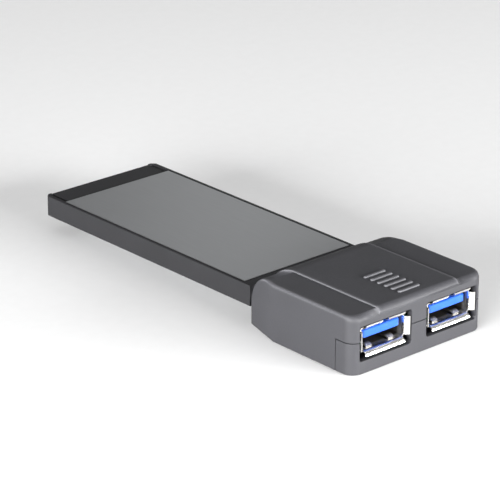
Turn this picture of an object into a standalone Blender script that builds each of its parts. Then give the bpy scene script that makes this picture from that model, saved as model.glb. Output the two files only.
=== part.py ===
"""Two-port USB adapter that slides into a laptop's 34 mm card slot.

A stub housing stays outside the slot and carries two side-by-side Type-A sockets.  A flat card
behind it carries the controller and ends in a 26-way edge connector.  One circuit board runs
through both.

Every size is in millimetres and MM turns it into metres when a part is written.  Inside this
file Y = 0 is the housing's front face, Y grows towards the card's nose, Z = 0 is the housing's
underside and X = 0 is the middle.  The empty called adapter moves that frame so that the origin
is below the middle of the whole object.
"""
import math

import bmesh
import bpy
from mathutils import Matrix

MM = 0.001

# ---- housing ---------------------------------------------------------------------------------
HOUSING_WIDTH = 40.0
REAR_ROOM = 18.35           # from the sockets' back to the housing's rear wall, for board parts
SHOULDER_HEIGHT = 13.8
PANEL_RISE = 0.4            # the middle of the lid stands this much above its shoulders
PANEL_WIDTH = 24.0
WALL = 1.5
FLOOR = 1.5
FRONT_CORNER_RADIUS = 2.75
FRONT_TOP_RADIUS = 1.5
SIDE_TOP_BEVEL = 0.5
BOTTOM_BEVEL = 0.4
REAR_ARC_RADIUS = 9.0       # the lid rolls down to the card in one quarter round
REAR_CORNER_RADIUS = 0.6
TAPER_LENGTH = 10.7         # the sides draw in to the card's width over this length
SEAM = 0.16                 # open line between the two shells
SEAM_HEIGHT = 7.5
SEAM_DEPTH = 5.2            # the lower shell shows on the sides only up to here
LIP_RISE = 0.9              # the lower shell's inner lip behind the seam
LIP_OFFSET = 0.8

# ---- grip ribs on the lid --------------------------------------------------------------------
GRIP_COUNT = 6
GRIP_FIRST = 3.5
GRIP_PITCH = 2.13
GRIP_LENGTH = 6.4
GRIP_WIDTH = 0.9
GRIP_HEIGHT = 0.35

# ---- sockets ---------------------------------------------------------------------------------
PORT_PITCH = 20.0
PORT_HEIGHT = 7.5           # middle of each socket above the housing's underside
THROAT_WIDTH = 12.5
THROAT_HEIGHT = 5.12
SHEET = 0.3
SHELL_CORNER_RADIUS = 0.7
SHELL_LENGTH = 17.5
SHELL_RECESS = 0.15         # the lips stand back from the housing's front by this
LIP_LENGTH = 1.1
LIP_FLARE = 0.9
LIP_CORNER = 0.4            # each lip stops this far from the throat's corner
TOP_LIP_SPLIT = 1.8
SPLIT_DEPTH = 0.9           # the split in the top lip runs this far into the tube
OPENING_CLEARANCE = 0.45    # housing opening around the flared lips
OPENING_DROP = 0.35         # the opening's middle lies this much below the socket's
OPENING_RADIUS = 0.7
SPRING_SPACING = 6.6
SPRING_WIDTH = 1.7
SPRING_SLOT = 0.3
SPRING_FRONT = 1.9
SPRING_ROOT = 8.0
SPRING_DIP_BOTTOM = 0.75
SPRING_DIP_TOP = 0.3
EAR_LENGTH = 1.3
EAR_WIDTH = 2.0
EAR_PLACES = (5.0, 13.0)
TONGUE_WIDTH = 11.1
TONGUE_THICKNESS = 1.84
TONGUE_TOP_GAP = 0.72
TONGUE_FRONT = 1.35
TONGUE_CORNER_RADIUS = 0.8
TONGUE_CHAMFER = 0.2
BLOCK_FRONT = 12.0          # the insulator's rear block starts here
BLOCK_FIT = 0.12            # gap between block and shell

# ---- socket contacts -------------------------------------------------------------------------
CONTACT_SHEET = 0.2
CONTACT_FIT = 0.1
WIDE_CONTACT_WIDTH = 1.0
WIDE_CONTACT_PLACES = (-3.5, -1.0, 1.0, 3.5)
NARROW_CONTACT_WIDTH = 0.6
NARROW_CONTACT_PLACES = (-4.0, -2.0, 0.0, 2.0, 4.0)
NARROW_CONTACT_DROP = 0.55  # the rear row runs this much below the tongue's face
NARROW_CONTACT_REACH = 3.0
FOOT_LENGTH = 1.0

# ---- circuit board ---------------------------------------------------------------------------
BOARD_THICKNESS = 0.8
BOARD_TOP = 6.6
BOARD_SETBACK = 0.5         # from the inside of the front wall to the board's front edge
BOARD_FIT = 0.3
SOLDER_GAP = 0.1

# ---- card ------------------------------------------------------------------------------------
CARD_WIDTH = 34.0
CARD_LENGTH = 75.0
CARD_THICKNESS = 5.0
CARD_BASE = 4.2             # height of the card's underside
CARD_GAP = 0.3              # between the housing's rear and the card's collar
COLLAR_LENGTH = 2.8
COLLAR_WALL = 0.9
NECK_LENGTH = 3.1
NECK_STEP = 2.4             # the neck is narrower than the card by this on each side
NECK_FIT = 0.15
RAIL_WIDTH = 0.9
LEDGE_WIDTH = 1.0
COVER_SHEET = 0.25
COVER_FIT = 0.12
COVER_FLANGE = 1.0
NOSE_CHAMFER = 1.0
NOSE_BRIDGE = 0.8           # full-height end of each rail
NOSE_RECESS = 0.15          # the edge connector stands back from the rails' ends
PLUG_LENGTH = 6.8           # the edge connector's length along the card
PLUG_PITCH = 1.0
PLUG_WAYS = 26
MOUTH_HEIGHT = 1.7
MOUTH_DEPTH = 4.6
MOUTH_MARGIN = 0.8

# ---- case screws -----------------------------------------------------------------------------
SCREW_SPACING = 27.0
SCREW_DEPTH = 29.0
SCREW_RADIUS = 0.8
SCREW_HEAD_RADIUS = 1.5
SCREW_HEAD_HEIGHT = 0.8
SCREW_SINK = 0.15
SCREW_TOP = 9.2
SCREW_FIT = 0.15
BOSS_RADIUS = 2.0
BOSS_BASE = 3.1
PAD_HEIGHT = 1.2
RECESS_LENGTH = 1.7
RECESS_WIDTH = 0.4
RECESS_DEPTH = 0.45

# ---- worked out from the sizes above ---------------------------------------------------------
SHELL_END = SHELL_RECESS + SHELL_LENGTH
HOUSING_LENGTH = SHELL_END + REAR_ROOM
CARD_START = HOUSING_LENGTH + CARD_GAP
CARD_END = HOUSING_LENGTH + CARD_LENGTH
CARD_TOP = CARD_BASE + CARD_THICKNESS
TOTAL_LENGTH = CARD_END
BOARD_BASE = BOARD_TOP - BOARD_THICKNESS
BOARD_FRONT = WALL + BOARD_SETBACK
SHELL_WIDTH = THROAT_WIDTH + 2 * SHEET
SHELL_HEIGHT = THROAT_HEIGHT + 2 * SHEET
TONGUE_TOP = THROAT_HEIGHT / 2 - TONGUE_TOP_GAP
TONGUE_BASE = TONGUE_TOP - TONGUE_THICKNESS
NECK_HALF = CARD_WIDTH / 2 - NECK_STEP
PLUG_START = CARD_END - PLUG_LENGTH
TAPER_SLOPE = (HOUSING_WIDTH - CARD_WIDTH) / 2 / TAPER_LENGTH
MERGE = 1e-4                # points closer than this are one point


# ---- shapes ----------------------------------------------------------------------------------
def arc(centre, radius, start, stop, steps):
    """Points on a circle from one angle to another, in degrees."""
    points = []
    for index in range(steps + 1):
        angle = math.radians(start + (stop - start) * index / steps)
        points.append((centre[0] + radius * math.cos(angle), centre[1] + radius * math.sin(angle)))
    return points


def rounded_rectangle(width, height, radius, steps=4, centre=(0.0, 0.0)):
    """Outline of a rectangle with round corners, anticlockwise."""
    across = width / 2 - radius
    up = height / 2 - radius
    outline = []
    for turn, (side_x, side_y) in enumerate(((1, 1), (-1, 1), (-1, -1), (1, -1))):
        middle = (centre[0] + side_x * across, centre[1] + side_y * up)
        outline += arc(middle, radius, 90 * turn, 90 * turn + 90, steps)
    return outline


def loft(loops):
    """Closed solid through loops of equally many points, capped at both ends."""
    bm = bmesh.new()
    rings = [[bm.verts.new(point) for point in loop] for loop in loops]
    for lower, upper in zip(rings, rings[1:]):
        for index in range(len(lower)):
            after = (index + 1) % len(lower)
            bm.faces.new((lower[index], lower[after], upper[after], upper[index]))
    bm.faces.new(reversed(rings[0]))
    bm.faces.new(rings[-1])
    bmesh.ops.recalc_face_normals(bm, faces=bm.faces)
    return bm


def prism(outline, low, high, axis="Z"):
    """Closed solid from a flat outline, extruded along one axis."""
    place = {"X": lambda u, v, w: (w, u, v),
             "Y": lambda u, v, w: (u, w, v),
             "Z": lambda u, v, w: (u, v, w)}[axis]
    return loft([[place(u, v, level) for u, v in outline] for level in (low, high)])


def block(low, high):
    """Box between two corners."""
    outline = [(low[0], low[1]), (high[0], low[1]), (high[0], high[1]), (low[0], high[1])]
    return prism(outline, low[2], high[2])


def turned(profile, steps=24):
    """Solid of revolution about Z from (radius, height) pairs, closed by flat ends."""
    circles = []
    for radius, height in profile:
        circles.append([(x, y, height) for x, y in arc((0, 0), radius, 0, 360, steps)[:-1]])
    return loft(circles)


def disc(radius, low, high, centre=(0.0, 0.0), steps=24):
    """Upright cylinder."""
    return prism(arc(centre, radius, 0, 360, steps)[:-1], low, high)


def bent_strip(path, thickness, middle, width):
    """Sheet strip of one width that follows a path of (y, z) points, centred on X = middle."""
    left = []
    right = []
    for index, (y, z) in enumerate(path):
        before = path[max(index - 1, 0)]
        after = path[min(index + 1, len(path) - 1)]
        incoming = unit((y - before[0], z - before[1]), (after[0] - y, after[1] - z))
        outgoing = unit((after[0] - y, after[1] - z), incoming)
        normal = unit((-(incoming[1] + outgoing[1]), incoming[0] + outgoing[0]), incoming)
        stretch = 1.0 / max(normal[0] * -outgoing[1] + normal[1] * outgoing[0], 0.5)
        shift = thickness / 2 * stretch
        left.append((y + normal[0] * shift, z + normal[1] * shift))
        right.append((y - normal[0] * shift, z - normal[1] * shift))
    return prism(left + right[::-1], middle - width / 2, middle + width / 2, "X")


def unit(vector, fallback):
    """The vector at length one, or the fallback's direction where it has no length."""
    length = math.hypot(*vector)
    if length < MERGE:
        vector = fallback
        length = math.hypot(*fallback)
    return (vector[0] / length, vector[1] / length)


def combine(base, operation, *tools):
    """Boolean of the base with each tool in turn; the operands are used up."""
    for tool in tools:
        pair = []
        for bm in (base, tool):
            mesh = bpy.data.meshes.new("operand")
            bm.to_mesh(mesh)
            bm.free()
            operand = bpy.data.objects.new("operand", mesh)
            bpy.context.scene.collection.objects.link(operand)
            pair.append(operand)
        modifier = pair[0].modifiers.new("combine", "BOOLEAN")
        modifier.operation = operation
        modifier.object = pair[1]
        result = bpy.data.meshes.new_from_object(
            pair[0].evaluated_get(bpy.context.evaluated_depsgraph_get()))
        base = bmesh.new()
        base.from_mesh(result)
        bmesh.ops.remove_doubles(base, verts=base.verts, dist=MERGE)
        bmesh.ops.dissolve_degenerate(base, edges=base.edges, dist=MERGE)
        spare = [operand.data for operand in pair] + [result]
        for operand in pair:
            bpy.data.objects.remove(operand)
        for mesh in spare:
            bpy.data.meshes.remove(mesh)
    return base


# ---- materials and objects -------------------------------------------------------------------
def material(name, colour, roughness, metallic=0.0):
    """Principled material."""
    made = bpy.data.materials.new(name)
    made.use_nodes = True
    shader = made.node_tree.nodes["Principled BSDF"]
    shader.inputs["Base Color"].default_value = (*colour, 1.0)
    shader.inputs["Roughness"].default_value = roughness
    shader.inputs["Metallic"].default_value = metallic
    made.diffuse_color = (*colour, 1.0)
    return made


MATERIALS = {
    "housing_abs": ((0.055, 0.055, 0.060), 0.55, 0.0),
    "card_abs": ((0.020, 0.020, 0.022), 0.50, 0.0),
    "socket_nickel": ((0.72, 0.71, 0.68), 0.22, 1.0),
    "socket_blue": ((0.020, 0.140, 0.600), 0.35, 0.0),
    "contact_gold": ((0.85, 0.62, 0.28), 0.25, 1.0),
    "card_steel": ((0.60, 0.60, 0.60), 0.35, 1.0),
    "board_mask": ((0.015, 0.120, 0.050), 0.40, 0.0),
    "chip_epoxy": ((0.018, 0.018, 0.018), 0.55, 0.0),
    "can_aluminium": ((0.75, 0.75, 0.76), 0.30, 1.0),
    "fuse_green": ((0.060, 0.200, 0.090), 0.50, 0.0),
    "tantalum_yellow": ((0.700, 0.430, 0.060), 0.50, 0.0),
    "ferrite_grey": ((0.060, 0.060, 0.062), 0.65, 0.0),
    "screw_steel": ((0.12, 0.12, 0.12), 0.40, 1.0),
}


def add_empty(name, location, parent=None):
    """Reference point that parts hang from."""
    empty = bpy.data.objects.new(name, None)
    bpy.context.scene.collection.objects.link(empty)
    empty.parent = parent
    empty.location = [value * MM for value in location]
    return empty


def add_part(name, bm, finish, parent, location=(0.0, 0.0, 0.0)):
    """Write one solid as a named object, in metres, with smooth round faces."""
    bm.transform(Matrix.Scale(MM, 4))
    mesh = bpy.data.meshes.new(name)
    bm.to_mesh(mesh)
    bm.free()
    mesh.materials.append(bpy.data.materials[finish])
    mesh.shade_smooth()
    mesh.set_sharp_from_angle(angle=math.radians(32))
    part = bpy.data.objects.new(name, mesh)
    bpy.context.scene.collection.objects.link(part)
    part.parent = parent
    part.location = [value * MM for value in location]
    return part


# ---- housing ---------------------------------------------------------------------------------
def housing_levels(top, front_radius, bevel, rear_radius, foot):
    """Heights at which the housing's outline changes, from the arcs on its edges."""
    levels = {foot, top}
    for step in range(7):
        levels.add(top - front_radius + front_radius * math.sin(math.radians(15 * step)))
    for step in range(4):
        levels.add(top - bevel + bevel * math.sin(math.radians(30 * step)))
    for step in range(13):
        levels.add(top - rear_radius + rear_radius * math.sin(math.radians(7.5 * step)))
    for step in range(3):
        levels.add(BOTTOM_BEVEL * (1 - math.cos(math.radians(45 * step))))
    ordered = sorted(level for level in levels if foot <= level <= top)
    spaced = [ordered[0]]
    for level in ordered[1:]:
        if level - spaced[-1] > 0.004:
            spaced.append(level)
    spaced[-1] = top
    return spaced


def quarter_inset(height, start, radius):
    """How far a quarter round has drawn in at a height above its start."""
    rise = min(max(height - start, 0.0), radius)
    return radius - math.sqrt(max(radius * radius - rise * rise, 0.0))


def housing_outline(height, inset, top, front_radius, bevel, rear_radius):
    """Plan outline of the housing at one height, drawn in all round by inset."""
    under = BOTTOM_BEVEL - inset
    foot = quarter_inset(under - height, 0.0, under) if 0.0 <= height < under else 0.0
    half = HOUSING_WIDTH / 2 - inset - quarter_inset(height, top - bevel, bevel) - foot
    front = inset + quarter_inset(height, top - front_radius, front_radius) + foot
    rear = HOUSING_LENGTH - inset - quarter_inset(height, top - rear_radius, rear_radius) - foot
    taper_start = HOUSING_LENGTH - TAPER_LENGTH
    corner = max(FRONT_CORNER_RADIUS - inset, 0.4)
    small = max(REAR_CORNER_RADIUS - inset / 2, 0.2)
    lean = math.atan(TAPER_SLOPE)
    pivot_y = rear - small
    pivot_x = half - TAPER_SLOPE * (pivot_y - taper_start) - small / math.cos(lean)
    right = arc((half - corner, front + corner), corner, -90, 0, 8)
    right.append((half, taper_start))
    right += arc((pivot_x, pivot_y), small, math.degrees(lean), 90, 3)
    left = [(-x, y) for x, y in reversed(right)]
    return [(x, y, height) for x, y in right + left]


def housing_solid(inset=0.0, foot=0.0):
    """The housing's outer form without its raised panel, or the same form drawn in."""
    top = SHOULDER_HEIGHT - inset
    front_radius = max(FRONT_TOP_RADIUS - inset, 0.3)
    bevel = max(SIDE_TOP_BEVEL - inset, 0.2)
    rear_radius = REAR_ARC_RADIUS - inset
    shape = (top, front_radius, bevel, rear_radius)
    levels = housing_levels(top, front_radius, bevel, rear_radius, foot)
    return loft([housing_outline(level, inset, *shape) for level in levels])


def raised_panel():
    """Slab that lifts the middle of the lid and follows its front and rear rounds."""
    skin = 0.02             # keeps its ends just behind the housing's own faces
    top = SHOULDER_HEIGHT + PANEL_RISE
    front = arc((FRONT_TOP_RADIUS + skin, top - FRONT_TOP_RADIUS), FRONT_TOP_RADIUS, 180, 90, 8)
    rear_middle = (HOUSING_LENGTH - skin - REAR_ARC_RADIUS, top - REAR_ARC_RADIUS)
    rear = arc(rear_middle, REAR_ARC_RADIUS, 90, 0, 16)
    inner = [(HOUSING_LENGTH - WALL / 2, rear_middle[1] - WALL), (WALL / 2, rear_middle[1] - WALL)]
    return prism(front + rear + inner, -PANEL_WIDTH / 2, PANEL_WIDTH / 2, "X")


def grip_rib(index):
    """Low pill-shaped bar across the lid."""
    base = SHOULDER_HEIGHT + PANEL_RISE
    radius = GRIP_WIDTH / 2
    place = GRIP_FIRST + GRIP_PITCH * index
    loops = []
    for rise, draw in ((-0.3, 0.0), (0.4, 0.0), (0.75, 0.14), (0.93, 0.34), (1.0, 0.6)):
        size = radius * (1 - draw)
        reach = GRIP_LENGTH / 2 - radius
        outline = arc((reach, place), size, -90, 90, 8) + arc((-reach, place), size, 90, 270, 8)
        loops.append([(x, y, base + GRIP_HEIGHT * rise) for x, y in outline])
    return loft(loops)


def port_places():
    """Names and middles of the two sockets."""
    return (("left", -PORT_PITCH / 2), ("right", PORT_PITCH / 2))


def screw_places():
    """Names and middles of the two case screws."""
    return (("left", -SCREW_SPACING / 2), ("right", SCREW_SPACING / 2))


def port_openings(low, high):
    """Cutters for the socket openings in the housing's front wall."""
    width = SHELL_WIDTH - SHEET + 2 * (LIP_FLARE + OPENING_CLEARANCE)
    height = SHELL_HEIGHT - SHEET + 2 * (LIP_FLARE + OPENING_CLEARANCE)
    cutters = []
    for _, middle in port_places():
        centre = (middle, PORT_HEIGHT - OPENING_DROP)
        outline = rounded_rectangle(width, height, OPENING_RADIUS, 4, centre)
        cutters.append(prism(outline, low, high, "Y"))
    return cutters


def upper_shell(parent):
    """Lid with the sides and the rear wall, down to the table except behind the front."""
    body = combine(housing_solid(), "UNION", raised_panel())
    body = combine(body, "UNION", *[grip_rib(index) for index in range(GRIP_COUNT)])
    body = combine(body, "DIFFERENCE", housing_solid(WALL, -1.0))
    half = HOUSING_WIDTH / 2 + 1
    body = combine(body, "DIFFERENCE",
                   block((-half, -1, -1), (half, SEAM_DEPTH + SEAM, SEAM_HEIGHT + SEAM)))
    rebate = block((-half, -1, -1), (half, SEAM_DEPTH + LIP_RISE + SEAM, SEAM_HEIGHT + LIP_RISE + SEAM))
    rebate = combine(housing_solid(LIP_OFFSET, -0.5), "INTERSECT", rebate)
    body = combine(body, "DIFFERENCE", rebate)
    body = combine(body, "DIFFERENCE", *port_openings(-1.0, WALL + 0.7))
    exit_half = NECK_HALF + NECK_FIT
    body = combine(body, "DIFFERENCE",
                   block((-exit_half, HOUSING_LENGTH - REAR_ARC_RADIUS / 2, CARD_BASE),
                         (exit_half, HOUSING_LENGTH + 1, CARD_TOP)))
    for _, middle in screw_places():
        boss = disc(BOSS_RADIUS, BOSS_BASE, SHOULDER_HEIGHT + 1, (middle, SCREW_DEPTH))
        boss = combine(boss, "INTERSECT", housing_solid(WALL / 2, -1.0))
        body = combine(body, "UNION", boss)
        hole = disc(SCREW_RADIUS + SCREW_FIT, BOSS_BASE - 1, SCREW_TOP + 3 * SCREW_FIT,
                    (middle, SCREW_DEPTH), 16)
        body = combine(body, "DIFFERENCE", hole)
    rib_base = PORT_HEIGHT + SHELL_HEIGHT / 2 + BOARD_FIT
    for _, middle in port_places():
        rib = block((middle - THROAT_WIDTH / 3, SPRING_ROOT + 1.5, rib_base),
                    (middle + THROAT_WIDTH / 3, SPRING_ROOT + 2.5, SHOULDER_HEIGHT - WALL / 2))
        body = combine(body, "UNION", rib)
    add_part("upper_shell", body, "housing_abs", parent)


def lower_shell(parent):
    """Floor plate with the lower half of the front wall and its two corner returns."""
    half = HOUSING_WIDTH / 2 + 1
    body = combine(housing_solid(), "INTERSECT",
                   block((-half, -1, -1), (half, SEAM_DEPTH, SEAM_HEIGHT)))
    lip = combine(housing_solid(LIP_OFFSET + SEAM), "INTERSECT",
                  block((-half, -1, FLOOR / 2), (half, SEAM_DEPTH + LIP_RISE, SEAM_HEIGHT + LIP_RISE)))
    body = combine(body, "UNION", lip)
    body = combine(body, "DIFFERENCE", housing_solid(WALL, FLOOR))
    floor = combine(housing_solid(WALL + SEAM), "INTERSECT",
                    block((-half, WALL / 2, -1), (half, HOUSING_LENGTH, FLOOR)))
    body = combine(body, "UNION", floor)
    body = combine(body, "DIFFERENCE", *port_openings(-1.0, WALL + 0.7))
    for _, middle in screw_places():
        place = (middle, SCREW_DEPTH)
        body = combine(body, "UNION", disc(BOSS_RADIUS + 0.5, FLOOR / 2, FLOOR + PAD_HEIGHT, place))
        head = disc(SCREW_HEAD_RADIUS + SCREW_FIT, -1, SCREW_SINK + SCREW_HEAD_HEIGHT + SCREW_FIT, place)
        shank = disc(SCREW_RADIUS + SCREW_FIT, 0, FLOOR + PAD_HEIGHT + 1, place, 16)
        body = combine(body, "DIFFERENCE", head, shank)
    cradle_top = PORT_HEIGHT - SHELL_HEIGHT / 2 - BOARD_FIT
    for _, middle in port_places():
        for depth in (SPRING_ROOT + 1, SHELL_END - 3):
            cradle = block((middle - THROAT_WIDTH / 3, depth, FLOOR / 2),
                           (middle + THROAT_WIDTH / 3, depth + 1, cradle_top))
            body = combine(body, "UNION", cradle)
    for x, y in ((0.0, SEAM_DEPTH + 5), (0.0, SCREW_DEPTH)):
        body = combine(body, "UNION", disc(1.2, FLOOR / 2, BOARD_BASE - BOARD_FIT, (x, y), 16))
    add_part("lower_shell", body, "housing_abs", parent)


def case_screw(side, middle, parent):
    """Pan-head screw with a cross recess, driven up from the underside."""
    head_top = SCREW_HEAD_HEIGHT
    tip = SCREW_TOP - SCREW_SINK
    profile = [(SCREW_HEAD_RADIUS - 0.35, 0), (SCREW_HEAD_RADIUS - 0.1, 0.12),
               (SCREW_HEAD_RADIUS, 0.35), (SCREW_HEAD_RADIUS, head_top), (SCREW_RADIUS, head_top),
               (SCREW_RADIUS, tip - 0.8), (SCREW_RADIUS * 0.4, tip)]
    body = turned(profile)
    for across, along in ((RECESS_LENGTH, RECESS_WIDTH), (RECESS_WIDTH, RECESS_LENGTH)):
        cross = block((-across / 2, -along / 2, -1), (across / 2, along / 2, RECESS_DEPTH))
        body = combine(body, "DIFFERENCE", cross)
    add_part("case_screw_" + side, body, "screw_steel", parent, (middle, SCREW_DEPTH, SCREW_SINK))


# ---- sockets: each is built about the middle of its mouth, on the housing's front -------------
def flare_path(wall, outward):
    """Path of a lip that curls away from the throat towards the front."""
    angle = 2 * math.atan(LIP_FLARE / LIP_LENGTH)
    radius = LIP_LENGTH / math.sin(angle)
    start = SHELL_RECESS + LIP_LENGTH
    path = [(start + 1.0, wall)]
    for step in range(7):
        turn = angle * step / 6
        path.append((start - radius * math.sin(turn), wall + outward * radius * (1 - math.cos(turn))))
    return path


def spring_path(wall, inward, dip):
    """Path of a retention spring, from its root in the wall to its turned-out tip."""
    run = SPRING_ROOT - SPRING_FRONT
    shape = ((-0.06, 0.0), (0.1, 0.0), (0.3, 0.18), (0.62, 0.72), (0.78, 0.96), (0.84, 1.0),
             (0.9, 0.92), (1.0, 0.45))
    return [(SPRING_ROOT - run * along, wall + inward * dip * depth) for along, depth in shape]


def usb_shell(side, parent):
    """Drawn steel shell: tube, flared lips, four retention springs, solder ears and a back flap."""
    start = SHELL_RECESS + LIP_LENGTH
    outer = rounded_rectangle(SHELL_WIDTH, SHELL_HEIGHT, SHELL_CORNER_RADIUS)
    inner = rounded_rectangle(THROAT_WIDTH, THROAT_HEIGHT, SHELL_CORNER_RADIUS - SHEET)
    body = combine(prism(outer, start, SHELL_END, "Y"), "DIFFERENCE",
                   prism(inner, start - 1, SHELL_END + 1, "Y"))
    wall = THROAT_HEIGHT / 2 + SHEET / 2
    window = SPRING_WIDTH / 2 + SPRING_SLOT
    for middle in (-SPRING_SPACING / 2, SPRING_SPACING / 2):
        for up, dip in ((1, SPRING_DIP_TOP), (-1, SPRING_DIP_BOTTOM)):
            low, high = sorted((up * (wall - 0.5), up * (wall + 0.5)))
            slot = block((middle - window, SPRING_FRONT - SPRING_SLOT, low),
                         (middle + window, SPRING_ROOT, high))
            body = combine(body, "DIFFERENCE", slot)
            spring = bent_strip(spring_path(up * wall, -up, dip), SHEET, middle, SPRING_WIDTH)
            body = combine(body, "UNION", spring)
    lip_half = THROAT_WIDTH / 2 - LIP_CORNER
    top_width = lip_half - TOP_LIP_SPLIT / 2
    top_middle = (lip_half + TOP_LIP_SPLIT / 2) / 2
    lips = [bent_strip(flare_path(-wall, -1), SHEET, 0.0, 2 * lip_half),
            bent_strip(flare_path(wall, 1), SHEET, top_middle, top_width),
            bent_strip(flare_path(wall, 1), SHEET, -top_middle, top_width)]
    side_wall = THROAT_WIDTH / 2 + SHEET / 2
    side_width = THROAT_HEIGHT - 2 * LIP_CORNER
    for outward in (1, -1):
        lip = bent_strip(flare_path(outward * side_wall, outward), SHEET, 0.0, side_width)
        for vert in lip.verts:
            vert.co.x, vert.co.z = vert.co.z, vert.co.x
        bmesh.ops.reverse_faces(lip, faces=lip.faces)
        lips.append(lip)
    body = combine(body, "UNION", *lips)
    split = block((-TOP_LIP_SPLIT / 2, start - 1, wall - SHEET),
                  (TOP_LIP_SPLIT / 2, start + SPLIT_DEPTH, wall + SHEET))
    body = combine(body, "DIFFERENCE", split)
    seat = BOARD_TOP - PORT_HEIGHT + SOLDER_GAP
    for outward in (1, -1):
        for place in EAR_PLACES:
            near, far = sorted((outward * side_wall, outward * (SHELL_WIDTH / 2 + EAR_LENGTH)))
            ear = block((near, place, seat), (far, place + EAR_WIDTH, seat + SHEET))
            body = combine(body, "UNION", ear)
    flap = block((-THROAT_WIDTH / 2 + 0.3, SHELL_END - SHEET, TONGUE_BASE + 0.5),
                 (THROAT_WIDTH / 2 - 0.3, SHELL_END, wall))
    body = combine(body, "UNION", flap)
    add_part("usb_shell_" + side, body, "socket_nickel", parent)


def contact_rows():
    """Name, places, width and height of each row of contacts, and where its feet start."""
    back = SHELL_END + CONTACT_FIT
    wide = ("usb_contact_", WIDE_CONTACT_PLACES, WIDE_CONTACT_WIDTH, TONGUE_BASE)
    narrow = ("fast_contact_", NARROW_CONTACT_PLACES, NARROW_CONTACT_WIDTH,
              TONGUE_BASE - NARROW_CONTACT_DROP)
    return ((*wide, back + 1.9), (*narrow, back + 0.3))


def tongue():
    """Flat tongue with round front corners and eased edges, which carries the contacts."""
    loops = []
    for level, draw in ((TONGUE_BASE, TONGUE_CHAMFER), (TONGUE_BASE + TONGUE_CHAMFER, 0.0),
                        (TONGUE_TOP - TONGUE_CHAMFER, 0.0), (TONGUE_TOP, TONGUE_CHAMFER)):
        half = TONGUE_WIDTH / 2 - draw
        front = TONGUE_FRONT + SHELL_RECESS + draw
        radius = TONGUE_CORNER_RADIUS
        right = arc((half - radius, front + radius), radius, -90, 0, 6)
        right.append((half, BLOCK_FRONT + 0.5))
        outline = right + [(-x, y) for x, y in reversed(right)]
        loops.append([(x, y, level) for x, y in outline])
    return loft(loops)


def usb_insulator(side, parent):
    """Moulded tongue and rear block, with a groove or a tunnel for each contact."""
    half = THROAT_WIDTH / 2 - BLOCK_FIT
    up = THROAT_HEIGHT / 2 - BLOCK_FIT
    outline = rounded_rectangle(2 * half, 2 * up, SHELL_CORNER_RADIUS - SHEET, 3)
    body = prism(outline, BLOCK_FRONT, SHELL_END - SHEET - BLOCK_FIT, "Y")
    body = combine(body, "UNION", tongue())
    gap = CONTACT_SHEET / 2 + CONTACT_FIT
    for _, places, width, level, _ in contact_rows():
        front = TONGUE_FRONT + SHELL_RECESS + 0.9 if level == TONGUE_BASE else BLOCK_FRONT - 1
        for place in places:
            reach = width / 2 + CONTACT_FIT
            channel = block((place - reach, front, level - gap),
                            (place + reach, SHELL_END + 1, level + gap))
            body = combine(body, "DIFFERENCE", channel)
    add_part("usb_insulator_" + side, body, "socket_blue", parent)


def usb_contacts(side, parent):
    """Both rows of contacts, each a bent strip that ends in a foot on the board."""
    foot = BOARD_TOP - PORT_HEIGHT + SOLDER_GAP + CONTACT_SHEET / 2
    for name, places, width, level, landing in contact_rows():
        if level == TONGUE_BASE:
            head = [(TONGUE_FRONT + SHELL_RECESS + 1.1, level)]
        else:
            tip = BLOCK_FRONT - NARROW_CONTACT_REACH
            head = [(tip, level + 0.1), (tip + 0.7, level - 0.3), (tip + 1.2, level - 0.3),
                    (tip + 2.2, level)]
        bend = 0.5 * (level - foot)
        path = head + [(landing - bend, level), (landing, foot), (landing + FOOT_LENGTH, foot)]
        for index, place in enumerate(places):
            strip = bent_strip(path, CONTACT_SHEET, place, width)
            add_part(name + side + "_" + str(index + 1), strip, "contact_gold", parent)


# ---- circuit board and what stands on it -----------------------------------------------------
def board_half_width(depth):
    """Half the room between the housing's walls at one depth, less the board's fit."""
    drawn = TAPER_SLOPE * max(depth - (HOUSING_LENGTH - TAPER_LENGTH), 0.0)
    return HOUSING_WIDTH / 2 - WALL - drawn - BOARD_FIT


def main_board(parent):
    """One board from the sockets through the card's neck to the edge connector."""
    shoulder = HOUSING_LENGTH - NECK_LENGTH - BOARD_FIT
    neck = NECK_HALF - COLLAR_WALL - BOARD_FIT
    card = CARD_WIDTH / 2 - RAIL_WIDTH - LEDGE_WIDTH - COVER_SHEET - 3 * COVER_FIT - BOARD_FIT
    taper = HOUSING_LENGTH - TAPER_LENGTH
    card_start = CARD_START + COLLAR_LENGTH + BOARD_FIT
    right = [(board_half_width(0), BOARD_FRONT), (board_half_width(0), taper),
             (board_half_width(shoulder) - 0.1, shoulder), (neck, shoulder), (neck, card_start),
             (card, card_start), (card, PLUG_START - BOARD_FIT)]
    outline = right + [(-x, y) for x, y in reversed(right)]
    body = prism(outline, BOARD_BASE, BOARD_TOP)
    for _, middle in port_places():
        half = SHELL_WIDTH / 2 + BOARD_FIT
        notch = block((middle - half, 0, BOARD_BASE - 1), (middle + half, SHELL_END + 0.2, BOARD_TOP + 1))
        body = combine(body, "DIFFERENCE", notch)
    for _, middle in screw_places():
        hole = disc(BOSS_RADIUS + BOARD_FIT, BOARD_BASE - 1, BOARD_TOP + 1, (middle, SCREW_DEPTH))
        body = combine(body, "DIFFERENCE", hole)
    add_part("main_board", body, "board_mask", parent)


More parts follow.
